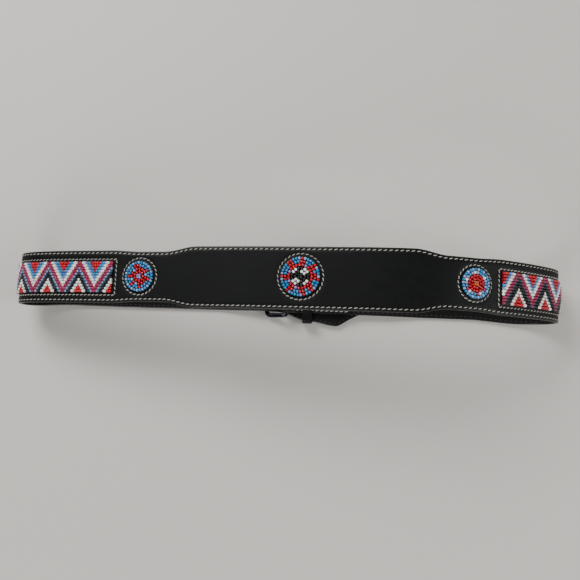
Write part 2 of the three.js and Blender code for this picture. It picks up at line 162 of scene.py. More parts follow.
STRAP_AT_HEEL = TONGUE_AT_HEEL + LEATHER + GAP
FOLD_RADIUS = WIRE_RADIUS + GAP + SKIVED / 2
HEEL_BAR_Z = STRAP_AT_HEEL + SKIVED / 2 + FOLD_RADIUS
KEEPER_RIGHT = KEEPER_X + KEEPER_WIDTH / 2

# Height of the outer face above the floor, by place along X
TONGUE_LIFT = (
    (TOE_BAR_X - LAY_RUN, 0),
    (TOE_BAR_X, TONGUE_AT_TOE),
    (HEEL_BAR_X - FOLD_RADIUS - SKIVED, TONGUE_AT_HEEL),
    (KEEPER_RIGHT, TONGUE_AT_HEEL),
    (TIP_X, TIP_LIFT),
)
STRAP_LIFT = (
    (HEEL_BAR_X, STRAP_AT_HEEL),
    (KEEPER_RIGHT, STRAP_AT_HEEL),
    (TIP_X, TIP_LIFT + LEATHER + GAP),
    (TIP_X + LAY_RUN, 0),
)
LAYER_THICKNESS = (
    (HEEL_BAR_X + FOLD_RADIUS, SKIVED),
    (HEEL_BAR_X + FLAP_LENGTH / 2, LEATHER),
)
FLAP_SHARE = ((HEEL_BAR_X, 1), (HEEL_BAR_X + FLAP_RUN_FOLDS * FOLD_RADIUS, 0))

# How far the tongue hangs down across the strap, by place along X
TONGUE_DROOP = ((PRONG_HOLE_X, 0), (KEEPER_X, 7 * MM), (TIP_X - TIP_LENGTH, 10.5 * MM))

# Half width of the tongue's point as a share, by share of its length
TIP_ROWS = ((0, 1), (0.08, 0.95), (0.34, 0.64), (0.7, 0.3), (0.94, 0.12), (1, 0.05))

# Width of the strap by distance from the middle medallion
WIDTH_ROWS = (
    (STEP_MIDDLE - STEP_LENGTH / 2, FRONT_WIDTH),
    (STEP_MIDDLE + STEP_LENGTH / 2, NECK_WIDTH),
    (SIDE_MEDALLION_PLACE, NECK_WIDTH),
    (PANEL_START + ROW_PITCH, PANEL_WIDTH),
    (PANEL_END, PANEL_WIDTH),
    (PANEL_END + BACK_TAPER, BACK_WIDTH),
)


def ease(share):
    """A smooth step from 0 to 1, with no corner at either end."""
    return share * share * (3 - 2 * share)


def straight(share):
    return share


def read_rows(rows, place, shape=ease):
    """A table's second column at places in its first, eased from row to row."""
    keys, values = np.array(rows, float).T
    after = np.clip(np.searchsorted(keys, place), 1, len(keys) - 1)
    share = np.clip((place - keys[after - 1]) / (keys[after] - keys[after - 1]), 0, 1)
    return values[after - 1] + (values[after] - values[after - 1]) * shape(share)


def loop_line(places):
    """Points of the closed smooth curve through the loop's rows, at places in rows."""
    rows = np.array(LOOP_ROWS)
    first = np.floor(places).astype(int)
    share = places - first
    weights = (
        (1 - share) ** 3 / 6,
        (3 * share**3 - 6 * share**2 + 4) / 6,
        (-3 * share**3 + 3 * share**2 + 3 * share + 1) / 6,
        share**3 / 6,
    )
    line = 0
    for i, weight in enumerate(weights):
        line = line + weight[:, None] * rows[(first + i - 1) % len(rows)]
    return line


def stretch(x, z, thickness, low, high):
    """A stretch of the strap's path, with one row for each point."""
    return np.column_stack(np.broadcast_arrays(x, z, thickness, low, high))


def run_of(points):
    """Distance of each point from the first, along the line through them."""
    steps = np.linalg.norm(np.diff(points, axis=0), axis=1)
    return np.concatenate([[0], np.cumsum(steps)])


PATH_STEP = 0.5 * MM
MEASURE_POINTS = 640
LOOP_POINTS = 2000
FOLD_POINTS = 24

tongue_x = np.arange(TIP_X, TOE_BAR_X - LAY_RUN, -PATH_STEP)
tip_share = (tongue_x - TIP_X + TIP_LENGTH) / TIP_LENGTH
tongue_half = TONGUE_WIDTH / 2 * read_rows(TIP_ROWS, tip_share, straight)
tongue_droop = read_rows(TONGUE_DROOP, tongue_x)
tongue = stretch(
    MIDDLE_X + tongue_x,
    read_rows(TONGUE_LIFT, tongue_x) + LEATHER / 2,
    LEATHER,
    -tongue_droop - tongue_half,
    -tongue_droop + tongue_half,
)

whole_loop = loop_line(np.linspace(0, len(LOOP_ROWS), MEASURE_POINTS, endpoint=False))
loop_low, loop_high = whole_loop.min(0), whole_loop.max(0)
curve_rows = np.linspace(FIRST_CURVED_ROW, LAST_CURVED_ROW, LOOP_POINTS, endpoint=False)
curve = loop_line(curve_rows)
curve = (curve - loop_low) / (loop_high - loop_low) * (LOOP_LENGTH, LOOP_HEIGHT)
curve += (MIDDLE_X - LOOP_LENGTH / 2, LEATHER / 2)
curve_run = run_of(curve)
on_top = curve[:, 1] > LOOP_HEIGHT / 2
curve_run -= np.interp(MIDDLE_MEDALLION_X + MIDDLE_X, curve[on_top, 0], curve_run[on_top])
curve_width = read_rows(WIDTH_ROWS, np.abs(curve_run))
loop = stretch(curve[:, 0], curve[:, 1], LEATHER, -curve_width / 2, curve_width / 2)

buckle_x = np.arange(TIP_X + LAY_RUN, HEEL_BAR_X, -PATH_STEP)
layer = read_rows(LAYER_THICKNESS, buckle_x)
buckle_z = read_rows(STRAP_LIFT, buckle_x) + layer / 2
half_back = BACK_WIDTH / 2
buckle_part = stretch(MIDDLE_X + buckle_x, buckle_z, layer, -half_back, half_back)

fold_angle = -math.pi / 2 - np.linspace(0, math.pi, FOLD_POINTS)
fold = stretch(
    MIDDLE_X + HEEL_BAR_X + FOLD_RADIUS * np.cos(fold_angle),
    HEEL_BAR_Z + FOLD_RADIUS * np.sin(fold_angle),
    SKIVED,
    -half_back,
    half_back,
)


def flap_middle(x):
    """Height of the flap's middle, which comes down on the strap's inner face."""
    resting = read_rows(STRAP_LIFT, x) + read_rows(LAYER_THICKNESS, x) + GAP + SKIVED / 2
    return resting + (HEEL_BAR_Z + FOLD_RADIUS - resting) * read_rows(FLAP_SHARE, x)


flap_x = np.arange(HEEL_BAR_X + PATH_STEP, HEEL_BAR_X + FLAP_LENGTH, PATH_STEP)
flap = stretch(MIDDLE_X + flap_x, flap_middle(flap_x), SKIVED, -half_back, half_back)

path = np.vstack([tongue, loop, buckle_part, fold, flap])
path_run = run_of(path[:, :2])
strap_length = path_run[-1]
MIDDLE_PLACE = np.interp(0, curve_run, path_run[len(tongue) : len(tongue) + len(loop)])
FOLD_PLACE = path_run[len(tongue) + len(loop) + len(buckle_part)]
fine_places = np.arange(0, strap_length, PATH_STEP)
fine_path = np.column_stack([np.interp(fine_places, path_run, c) for c in path.T])
fine_along = np.gradient(fine_path[:, :2], axis=0)
fine_along /= np.linalg.norm(fine_along, axis=1)[:, None]


def at_place(place):
    """The strap's path at distances from the tongue's point: rows of x, z, thickness, low
    and high edge, then the direction along it."""
    row = [np.interp(place, fine_places, column) for column in fine_path.T]
    along = [np.interp(place, fine_places, column) for column in fine_along.T]
    size = np.hypot(*along)
    return (*row, along[0] / size, along[1] / size)


def on_strap(place, across, above=0.0, face=1):
    """Points at a distance along the strap, across it, and above its outer face, or its
    inner one where face is -1, with the direction along it and out of that face."""
    x, z, thickness, _, _, along_x, along_z = at_place(place)
    out = face * (thickness / 2 + above)
    points = np.stack(
        np.broadcast_arrays(x - along_z * out, MIDDLE_Y + across, z + along_x * out), -1
    )
    along = np.stack(np.broadcast_arrays(along_x, 0.0, along_z, 0 * points[..., 0])[:3], -1)
    outward = face * np.stack([-along[..., 2], along[..., 1], along[..., 0]], -1)
    return points, along, outward


def skin(loops, ring=False):
    """Points and faces of a skin over equal loops of points, capped at its two ends or
    joined in a ring."""
    loops = np.asarray(loops, float)
    number = np.arange(loops.shape[0] * loops.shape[1]).reshape(loops.shape[:2])
    ahead = np.roll(number, -1, axis=0)
    quads = np.stack([number, ahead, np.roll(ahead, -1, 1), np.roll(number, -1, 1)], -1)
    faces = quads[: len(loops) if ring else -1].reshape(-1, 4).tolist()
    if not ring:
        faces += [number[0].tolist(), number[-1][::-1].tolist()]
    points = loops.reshape(-1, 3)
    corners = points[[face[:3] for face in faces]]
    volume = np.einsum("ij,ij->", corners[:, 0], np.cross(corners[:, 1], corners[:, 2]))
    return points, faces if volume > 0 else [face[::-1] for face in faces]


SHARP_ANGLE = math.radians(40)


def new_piece(name, points, faces, materials, face_materials=None):
    """A smooth shaded mesh object that rides on the belt's one body."""
    mesh = bpy.data.meshes.new(name)
    mesh.from_pydata(np.asarray(points).tolist(), [], faces)
    for material in materials:
        mesh.materials.append(material)
    if face_materials is not None:
        mesh.polygons.foreach_set("material_index", np.asarray(face_materials, np.int32))
    mesh.shade_smooth()
    mesh.update()
    piece = bpy.data.objects.new(name, mesh)
    bpy.context.scene.collection.objects.link(piece)
    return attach(piece, "root")


def cut(piece, *cutters):
    """Cuts the cutters out of a piece for good, and deletes them."""
    for cutter in cutters:
        step = piece.modifiers.new("cut", "BOOLEAN")
        step.operation = "DIFFERENCE"
        step.solver = "EXACT"
        step.object = cutter
    bpy.context.view_layer.update()
    graph = bpy.context.evaluated_depsgraph_get()
    mesh = bpy.data.meshes.new_from_object(piece.evaluated_get(graph))
    piece.modifiers.clear()
    piece.data = mesh
    mesh.set_sharp_from_angle(angle=SHARP_ANGLE)
    for cutter in cutters:
        bpy.data.objects.remove(cutter)


def linear(colour):
    """Linear colour of an sRGB hex value such as #1a2b3c."""
    shares = [int(colour[i : i + 2], 16) / 255 for i in (1, 3, 5)]
    return (*[s / 12.92 if s <= 0.04045 else ((s + 0.055) / 1.055) ** 2.4 for s in shares], 1)


def new_material(name, colour, roughness, sockets=None):
    """A material with a Principled surface, its tree and the surface node."""
    material = bpy.data.materials.new(name)
    material.use_nodes = True
    surface = material.node_tree.nodes["Principled BSDF"]
    surface.inputs["Base Color"].default_value = linear(colour)
    surface.inputs["Roughness"].default_value = roughness
    for socket, value in (sockets or {}).items():
        surface.inputs[socket].default_value = value
    return material, material.node_tree, surface


def add_node(tree, kind, inputs=None, **settings):
    """Adds a node, sets its properties, and gives its inputs values or links."""
    node = tree.nodes.new(kind)
    for name, value in settings.items():
        setattr(node, name, value)
    for name, value in (inputs or {}).items():
        if isinstance(value, bpy.types.NodeSocket):
            tree.links.new(value, node.inputs[name])
        else:
            node.inputs[name].default_value = value
    return node


# Full-grain bridle leather, dyed through and waxed: a soft sheen that breaks up over fine
# pores, with cloudy patches where the wax is thicker
PORE_SIZE = 0.6 * MM
CLOUD_SIZE = 28 * MM
CREASE_SIZE = 6 * MM
bridle_leather, tree, surface = new_material(
    "waxed_bridle_leather", "#070708", 0.5, {"Specular IOR Level": 0.16}
)
here = add_node(tree, "ShaderNodeTexCoord").outputs["Object"]
clouds = add_node(
    tree, "ShaderNodeTexNoise", {"Vector": here, "Scale": 1 / CLOUD_SIZE, "Detail": 4.0}
)
creases = add_node(
    tree, "ShaderNodeTexNoise", {"Vector": here, "Scale": 1 / CREASE_SIZE, "Detail": 6.0}
)
pores = add_node(
    tree,
    "ShaderNodeTexVoronoi",
    {"Vector": here, "Scale": 1 / PORE_SIZE, "Randomness": 0.9},
)
hide_colour = add_node(
    tree,
    "ShaderNodeMix",
    {"Factor": clouds.outputs["Fac"], "A": linear("#030404"), "B": linear("#090a0a")},
    data_type="RGBA",
)
wax = add_node(
    tree,
    "ShaderNodeMapRange",
    {
        "Value": creases.outputs["Fac"],
        "From Min": 0.3,
        "From Max": 0.7,
        "To Min": 0.46,
        "To Max": 0.62,
    },
)
crease_bump = add_node(
    tree,
    "ShaderNodeBump",
    {"Height": creases.outputs["Fac"], "Strength": 0.25, "Distance": 0.3 * MM},
)
pore_bump = add_node(
    tree,
    "ShaderNodeBump",
    {
        "Height": pores.outputs["Distance"],
        "Normal": crease_bump.outputs["Normal"],
        "Strength": 0.35,
        "Distance": 0.08 * MM,
    },
)
tree.links.new(hide_colour.outputs["Result"], surface.inputs["Base Color"])
tree.links.new(wax.outputs["Result"], surface.inputs["Roughness"])
tree.links.new(pore_bump.outputs["Normal"], surface.inputs["Normal"])

# Burnished edge: rubbed with wax until it shines, blacker and glossier than the faces,
# with short fibre streaks still showing in it
FIBRE_SIZE = 0.5 * MM
burnished_edge, tree, surface = new_material(
    "burnished_leather_edge", "#060606", 0.36, {"Specular IOR Level": 0.3}
)
here = add_node(tree, "ShaderNodeTexCoord").outputs["Object"]
fibres = add_node(
    tree, "ShaderNodeTexNoise", {"Vector": here, "Scale": 1 / FIBRE_SIZE, "Detail": 3.0}
)
edge_colour = add_node(
    tree,
    "ShaderNodeMix",
    {"Factor": fibres.outputs["Fac"], "A": linear("#040404"), "B": linear("#0c0c0b")},
    data_type="RGBA",
)
edge_bump = add_node(
    tree,
    "ShaderNodeBump",
    {"Height": fibres.outputs["Fac"], "Strength": 0.3, "Distance": 0.15 * MM},
)
tree.links.new(edge_colour.outputs["Result"], surface.inputs["Base Color"])
tree.links.new(edge_bump.outputs["Normal"], surface.inputs["Normal"])

# Flesh side: the pasted-down inner face, dull, with a short matted nap
NAP_SIZE = 0.9 * MM
flesh_side, tree, surface = new_material(
    "pasted_flesh_side", "#0d0c0b", 0.85, {"Specular IOR Level": 0.2}
)
here = add_node(tree, "ShaderNodeTexCoord").outputs["Object"]
nap = add_node(
    tree, "ShaderNodeTexNoise", {"Vector": here, "Scale": 1 / NAP_SIZE, "Detail": 5.0}
)
patches = add_node(
    tree, "ShaderNodeTexNoise", {"Vector": here, "Scale": 1 / CLOUD_SIZE, "Detail": 3.0}
)
nap_colour = add_node(
    tree,
    "ShaderNodeMix",
    {"Factor": patches.outputs["Fac"], "A": linear("#070707"), "B": linear("#12110f")},
    data_type="RGBA",
)
nap_bump = add_node(
    tree,
    "ShaderNodeBump",
    {"Height": nap.outputs["Fac"], "Strength": 0.6, "Distance": 0.25 * MM},
)
tree.links.new(nap_colour.outputs["Result"], surface.inputs["Base Color"])
tree.links.new(nap_bump.outputs["Normal"], surface.inputs["Normal"])

# The strap's section: round edges, a scored groove beside each on both faces, and columns
# of points between them. The sewn rings and frames pull in the outer face alone.
EDGE_RADIUS = 1.1 * MM
EDGE_SHARE = 0.75
GROOVE_INSET = 2.2 * MM
GROOVE_HALF = 0.8 * MM
GROOVE_DEPTH = 0.45 * MM
GROOVE_STOPS = (-1, -0.5, 0, 0.5, 1)
SECTION_STEP = 1.4 * MM
FOLD_STEP = 0.6 * MM
OUTER_COLUMNS = 28
INNER_COLUMNS = 8
EDGE_STEPS = 4
NARROWEST_FULL_HALF = 6 * MM
DIP_DEPTH = 0.32 * MM
DIP_WIDTH = 1.2 * MM
LONG_WAVE_DEPTH = 0.1 * MM
SHORT_WAVE_DEPTH = 0.04 * MM
MEDALLIONS = (
    # place along the front, rise across it, radius of the stitched ring
    (0, 0.9 * MM, 17.4 * MM),
    (-SIDE_MEDALLION_PLACE, 0, 14.6 * MM),
    (SIDE_MEDALLION_PLACE, 0.7 * MM, 13.8 * MM),
)
PANEL_RISE = {-1: -0.6 * MM, 1: -0.7 * MM}
FRAME_LENGTH_MARGIN = 2.5 * MM
FRAME_HALF_HEIGHT = 14.4 * MM


def section(low, high, thickness):
    """Across and out of every point of the strap's section, from the low edge over the
    outer face to the high edge and back over the inner face, for every station."""
    half = (thickness / 2)[:, None]
    scale = np.minimum(1, (high - low)[:, None] / 2 / NARROWEST_FULL_HALF)
    radius = np.minimum(EDGE_RADIUS, half * EDGE_SHARE) * scale
    turn = np.linspace(0, math.pi / 2, EDGE_STEPS)[None, :]
    round_across = radius * (1 - np.cos(turn))
    round_out = half - radius * (1 - np.sin(turn))
    groove = np.array(GROOVE_STOPS)[None, :]
    groove_across = (GROOVE_INSET + GROOVE_HALF * groove) * scale
    groove_out = half - GROOVE_DEPTH * scale * (0.5 + 0.5 * np.cos(math.pi * groove))
    edge_across = np.hstack([round_across, groove_across])
    edge_out = np.hstack([round_out, groove_out])
    faces = []
    for columns in (OUTER_COLUMNS, INNER_COLUMNS):
        share = (np.arange(columns) + 1)[None, :] / (columns + 1)
        first = low[:, None] + edge_across[:, -1:]
        last = high[:, None] - edge_across[:, -1:]
        face_across = first + (last - first) * share
        face_out = np.repeat(half, columns, axis=1)
        across = [low[:, None] + edge_across, face_across, high[:, None] - edge_across[:, ::-1]]
        faces.append((np.hstack(across), np.hstack([edge_out, face_out, edge_out[:, ::-1]])))
    outer, inner = faces
    across = np.hstack([outer[0], inner[0][:, ::-1]])
    out = np.hstack([outer[1], -inner[1][:, ::-1]])
    return across, out


def sewn_dip(run, across):
    """How deep the stitched rings and frames on the front pull into the leather."""
    dip = np.zeros(np.broadcast(run, across).shape)
    for place, rise, ring in MEDALLIONS:
        dip += np.exp(-(((np.hypot(run - place, across - rise) - ring) / DIP_WIDTH) ** 2))
    frame_half = (PANEL_END - PANEL_START) / 2 + FRAME_LENGTH_MARGIN
    for side, rise in PANEL_RISE.items():
        beside = np.abs(run - side * (PANEL_START + PANEL_END) / 2) - frame_half
        above = np.abs(across - rise) - FRAME_HALF_HEIGHT
        dip += np.exp(-((np.maximum(beside, above) / DIP_WIDTH) ** 2))
    return DIP_DEPTH * dip


def hand_waves(run, across):
    """The slight unevenness of a hide that lies over a curve."""
    long_wave = np.sin(run / (19 * MM) + 0.7) * np.sin(across / (12 * MM) + 0.4)
    short_wave = np.sin(run / (7.3 * MM) + 2.1) * np.cos(across / (9 * MM) + 1.9)
    return LONG_WAVE_DEPTH * long_wave + SHORT_WAVE_DEPTH * short_wave


plain_places = np.arange(0, FOLD_PLACE, SECTION_STEP)
stations = np.concatenate([plain_places, np.arange(FOLD_PLACE, strap_length, FOLD_STEP)])
x, z, thickness, low, high, along_x, along_z = at_place(stations)
across, out = section(low, high, thickness)
run = (stations - MIDDLE_PLACE)[:, None]
edge_points = EDGE_STEPS + len(GROOVE_STOPS)
outer_points = 2 * edge_points + OUTER_COLUMNS
interior = np.zeros(across.shape[1], bool)
interior[edge_points : edge_points + OUTER_COLUMNS] = True
shaped = (hand_waves(run, across) - sewn_dip(run, across)) * interior
out = out + shaped
loops = np.stack(
    [x[:, None] - along_z[:, None] * out, MIDDLE_Y + across, z[:, None] + along_x[:, None] * out],
    -1,
)
points, faces = skin(loops)
columns = across.shape[1]
column_material = np.full(columns, 2)
column_material[: EDGE_STEPS - 1] = 1
column_material[EDGE_STEPS - 1 : outer_points - EDGE_STEPS] = 0
column_material[outer_points - EDGE_STEPS : outer_points + EDGE_STEPS - 1] = 1
column_material[columns - EDGE_STEPS :] = 1
face_materials = np.concatenate([np.tile(column_material, len(stations) - 1), [1, 1]])
strap = new_piece(
    "strap_leather",
    points,
    faces,
    [bridle_leather, burnished_edge, flesh_side],
    face_materials,
)


def oblong_cutter(name, x, y, low, high, length, width):
    """A round-ended upright bar that cuts an oblong hole."""
    turn = np.linspace(0, 2 * math.pi, HOLE_SIDES + 1)[:-1]
    outline_x = np.sign(np.cos(turn)) * (length - width) / 2 + width / 2 * np.cos(turn)
    outline_y = width / 2 * np.sin(turn)
    loops = [
        np.column_stack([x + outline_x, y + outline_y, np.full(len(turn), height)])
        for height in (low, high)
    ]
    return new_piece(name, *skin(loops), [burnished_edge])


cutters = []
for i in range(HOLE_COUNT):
    hole_x = PRONG_HOLE_X + HOLE_PITCH * (i - PRONG_HOLE_INDEX)
    top = float(read_rows(TONGUE_LIFT, hole_x)) + LEATHER + GAP / 2
    hole_y = MIDDLE_Y - float(read_rows(TONGUE_DROOP, hole_x))
    cutters.append(
        oblong_cutter(
            f"hole_{i}", MIDDLE_X + hole_x, hole_y, -LEATHER, top, HOLE_LENGTH, HOLE_WIDTH
        )
    )
slot_left = HEEL_BAR_X - FOLD_RADIUS - SKIVED / 2 - GAP
cutters.append(
    oblong_cutter(
        "slot",
        MIDDLE_X + slot_left + SLOT_LENGTH / 2,
        MIDDLE_Y,
        STRAP_AT_HEEL - GAP / 2,
        STRAP_AT_HEEL + SLOT_CUT_FOLDS * FOLD_RADIUS + 2 * SKIVED,
        SLOT_LENGTH,
        SLOT_WIDTH,
    )
)
cut(strap, *cutters)
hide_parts("strap")


# Stitches
# Waxed thread sewn right through the leather in a locked stitch, grey-cream on the outer
# face and black on the inner one. Each stitch leans a little, lies in its groove and dives
# into an awl hole at both ends. Rows follow the strap's edges, the medallions and panels.
THREAD_RADIUS = 0.4 * MM
STITCH_LENGTH = 3 * MM
EDGE_PITCH = 4.1 * MM
SMALL_PITCH = 3.5 * MM
SMALL_STITCH = 2.8 * MM
STITCH_LEAN = math.radians(17)
TIP_START = 11 * MM
FLAP_MARGIN = 2 * MM
ROW_STEP = 1 * MM
RING_POINTS = 181
SIDE_POINTS = 200
THREAD_SIDES = 8
PLY_LAY = 0.9 * MM

# A stitch's arch from one awl hole to the other: place as a share of its length, and height
# of the thread's middle in millimetres
ARCH_ROWS = (
    (-0.5, -0.8),
    (-0.44, -0.1),
    (-0.24, 0.12),
    (0, 0.16),
    (0.24, 0.12),
    (0.44, -0.1),
    (0.5, -0.8),
)


def thread_material(name, shaded_hollow, crest):
    """Waxed thread of two plies twisted round each other, with painted shade darkening the colour
    between them.
    """
    material, tree, surface = new_material(name, crest, 0.6)
    ply = add_node(tree, "ShaderNodeAttribute", attribute_name="ply")
    turns = add_node(
        tree, "ShaderNodeMath", {0: ply.outputs["Fac"], 1: 2 * math.pi}, operation="MULTIPLY"
    )
    wave = add_node(tree, "ShaderNodeMath", {0: turns.outputs[0]}, operation="SINE")
    strand = add_node(
        tree, "ShaderNodeMapRange", {"Value": wave.outputs[0], "From Min": -1.0, "From Max": 1.0}
    )
    height = strand.outputs["Result"]
    # Painted shade: the colour runs from the crest colour down to a darker one in the grooves
    # between the plies
    colour = add_node(
        tree,
        "ShaderNodeMix",
        {"Factor": height, "A": linear(shaded_hollow), "B": linear(crest)},
        data_type="RGBA",
    )
    bump = add_node(
        tree, "ShaderNodeBump", {"Height": height, "Strength": 0.8, "Distance": 0.15 * MM}
    )
    tree.links.new(colour.outputs["Result"], surface.inputs["Base Color"])
    tree.links.new(bump.outputs["Normal"], surface.inputs["Normal"])
    return material


# Grey-cream thread, softly shining, with painted shade between its plies
waxed_thread = thread_material("waxed_cream_thread", "#74726a", "#c2c0b6")
# Black thread for the inner face, which all but vanishes against the leather
black_thread = thread_material("waxed_black_thread", "#0b0b0b", "#232323")


def stitch_shape(length):
    """One stitch along X, arched over the leather, with the turn of its plies."""
    share, height = np.array(ARCH_ROWS).T
    height = height * MM
    turn = -math.pi / 2 + np.linspace(0, 2 * math.pi, THREAD_SIDES, endpoint=False)
    loops = np.zeros((len(share), THREAD_SIDES, 3))
    loops[..., 0] = (share * length)[:, None]
    loops[..., 1] = THREAD_RADIUS * np.cos(turn)
    loops[..., 2] = height[:, None] + THREAD_RADIUS * np.sin(turn)
    lay = loops[..., 0] / PLY_LAY + np.linspace(0, 1, THREAD_SIDES)[None, :]
    points, faces = skin(loops)
    return points, faces, lay.reshape(-1)


def repeated(shape_points, shape_faces, origins, axes):
    """Points and faces of a small shape copied to every origin, along its three axes."""
    points = origins[:, None, :] + np.einsum("vk,nkc->nvc", shape_points, axes)
    shifts = range(0, len(origins) * len(shape_points), len(shape_points))
    faces = [[corner + shift for corner in face] for shift in shifts for face in shape_faces]
    return points.reshape(-1, 3), faces


def stitch_frames(row, outward, pitch):
    """Middle and axes of every stitch in a row sewn along a line of points."""
    run = run_of(row)
    count = int(round(run[-1] / pitch))
    middles = (np.arange(count) + 0.5) * run[-1] / count
    origins = np.column_stack([np.interp(middles, run, c) for c in row.T])
    out = np.column_stack([np.interp(middles, run, c) for c in outward.T])
    ahead = np.column_stack([np.interp(middles + THREAD_RADIUS, run, c) for c in row.T])
    behind = np.column_stack([np.interp(middles - THREAD_RADIUS, run, c) for c in row.T])
    along = ahead - behind
    along /= np.linalg.norm(along, axis=1)[:, None]
    out -= along * np.einsum("ij,ij->i", along, out)[:, None]
    out /= np.linalg.norm(out, axis=1)[:, None]
    beside = np.cross(out, along)
    lean = math.cos(STITCH_LEAN) * along + math.sin(STITCH_LEAN) * beside
    return origins, np.stack([lean, np.cross(out, lean), out], axis=1)


def sew(name, rows, pitch, length, thread):
    """One piece with the stitches of all the rows."""
    frames = [stitch_frames(row, outward, pitch) for row, outward in rows]
    origins = np.concatenate([origin for origin, _ in frames])
    axes = np.concatenate([axis for _, axis in frames])
    shape_points, shape_faces, lay = stitch_shape(length)
    points, faces = repeated(shape_points, shape_faces, origins, axes)
    piece = new_piece(name, points, faces, [thread])
    ply = piece.data.attributes.new("ply", "FLOAT", "POINT")
    ply.data.foreach_set("value", np.tile(lay, len(origins)).astype(np.float32))
    return piece


def edge_row(edge, face):
    """Line of the stitches along one edge, from the tongue's point to the flap's end."""
    places = np.arange(TIP_START, strap_length - FLAP_MARGIN, ROW_STEP)
    _, _, _, low, high, _, _ = at_place(places)
    slope = np.gradient((high - low) / 2, places)
    inset = GROOVE_INSET * np.sqrt(1 + slope**2)
    half = np.maximum((high - low) / 2 - inset, 0)
    across = (low + high) / 2 + edge * half
    points, _, outward = on_strap(places, across, -GROOVE_DEPTH, face)
    return points, outward


def ring_row(place, rise, radius, face):
    """Line of the stitches round a medallion."""
    turn = np.linspace(0, 2 * math.pi, RING_POINTS)
    run = MIDDLE_PLACE + place + radius * np.cos(turn)
    above = -DIP_DEPTH if face == 1 else 0
    points, _, outward = on_strap(run, rise + radius * np.sin(turn), above, face)
    return points, outward


def frame_rows(side, face):
    """Lines of the stitches along the four sides of a panel's frame."""
    rise = PANEL_RISE[side]
    near = PANEL_START - FRAME_LENGTH_MARGIN
    far = PANEL_END + FRAME_LENGTH_MARGIN
    corners = [
        (near, rise + FRAME_HALF_HEIGHT),
        (far, rise + FRAME_HALF_HEIGHT),
        (far, rise - FRAME_HALF_HEIGHT),
        (near, rise - FRAME_HALF_HEIGHT),
    ]
    rows = []
    for (run_a, across_a), (run_b, across_b) in zip(corners, corners[1:] + corners[:1]):
        share = np.linspace(0, 1, SIDE_POINTS)
        run = MIDDLE_PLACE + side * (run_a + (run_b - run_a) * share)
        across = across_a + (across_b - across_a) * share
        above = -DIP_DEPTH if face == 1 else 0
        points, _, outward = on_strap(run, across, above, face)
        rows.append((points, outward))
    return rows


for face, name, thread in ((1, "outer", waxed_thread), (-1, "inner", black_thread)):
    rows = [edge_row(edge, face) for edge in (-1, 1)]
    sew(f"edge_stitches_{name}", rows, EDGE_PITCH, STITCH_LENGTH, thread)
    rows = [ring_row(*medallion, face) for medallion in MEDALLIONS]
    for side in PANEL_RISE:
        rows += frame_rows(side, face)
    sew(f"beadwork_stitches_{name}", rows, SMALL_PITCH, SMALL_STITCH, thread)


# Seed beads
# Opaque glass beads about 2.3 mm across, cut from drawn tube and tumbled round. They are
# strung on thread and sewn down in rows for the panels and in rings for the medallions.
BEAD_RADIUS = 1.12 * MM
BEAD_BORE = 0.4 * MM
BEAD_AROUND = 14
BEAD_PROFILE = 8
BEAD_SQUARENESS = 0.85
BEAD_TILT = math.radians(5)
SEAT = 0.05 * MM
BEAD_SIZE_SPREAD = 0.02
BEAD_HEIGHT_SPREAD = 0.05 * MM
BEAD_TONE_SPREAD = 0.12
DARKEST_TONE = 0.7
LIGHTEST_TONE = 1.35


def bead_shape(length):
    """One bead with its bore along X."""
    turn = (np.arange(BEAD_PROFILE) + 0.5) / BEAD_PROFILE * 2 * math.pi
    square_cos = np.sign(np.cos(turn)) * np.abs(np.cos(turn)) ** BEAD_SQUARENESS
    square_sin = np.sign(np.sin(turn)) * np.abs(np.sin(turn)) ** BEAD_SQUARENESS
    along = length / 2 * square_sin
    away = (BEAD_RADIUS + BEAD_BORE) / 2 + (BEAD_RADIUS - BEAD_BORE) / 2 * square_cos
    around = np.arange(BEAD_AROUND) / BEAD_AROUND * 2 * math.pi
    loops = np.zeros((BEAD_AROUND, BEAD_PROFILE, 3))
    loops[..., 0] = along[None, :]
    loops[..., 1] = away[None, :] * np.cos(around)[:, None]
    loops[..., 2] = away[None, :] * np.sin(around)[:, None]
    return skin(loops, ring=True)


# Opaque glass: saturated colour under a hard, wet-looking shine; each bead's own tone
# differs a little from its neighbour's, as it does in a hank of them
BEAD_COLOURS = {
    "red": "#b80d1e",
    "rose": "#98274c",
    "turquoise": "#2180b8",
    "pale_blue": "#7f9cc4",
    "deep_teal": "#153f4f",
    "white": "#f7f6f2",
    "black": "#08080c",
    "orange": "#c4521f",
    "lilac": "#9280b4",
}
BEAD_NAMES = list(BEAD_COLOURS)
bead_glass = []
for name, colour in BEAD_COLOURS.items():
    glass, tree, surface = new_material(f"opaque_{name}_glass", colour, 0.16)
    tone = add_node(tree, "ShaderNodeAttribute", attribute_name="tone")
    toned = add_node(
        tree,
        "ShaderNodeHueSaturation",
        {"Value": tone.outputs["Fac"], "Color": linear(colour)},
    )
    tree.links.new(toned.outputs["Color"], surface.inputs["Base Color"])
    bead_glass.append(glass)


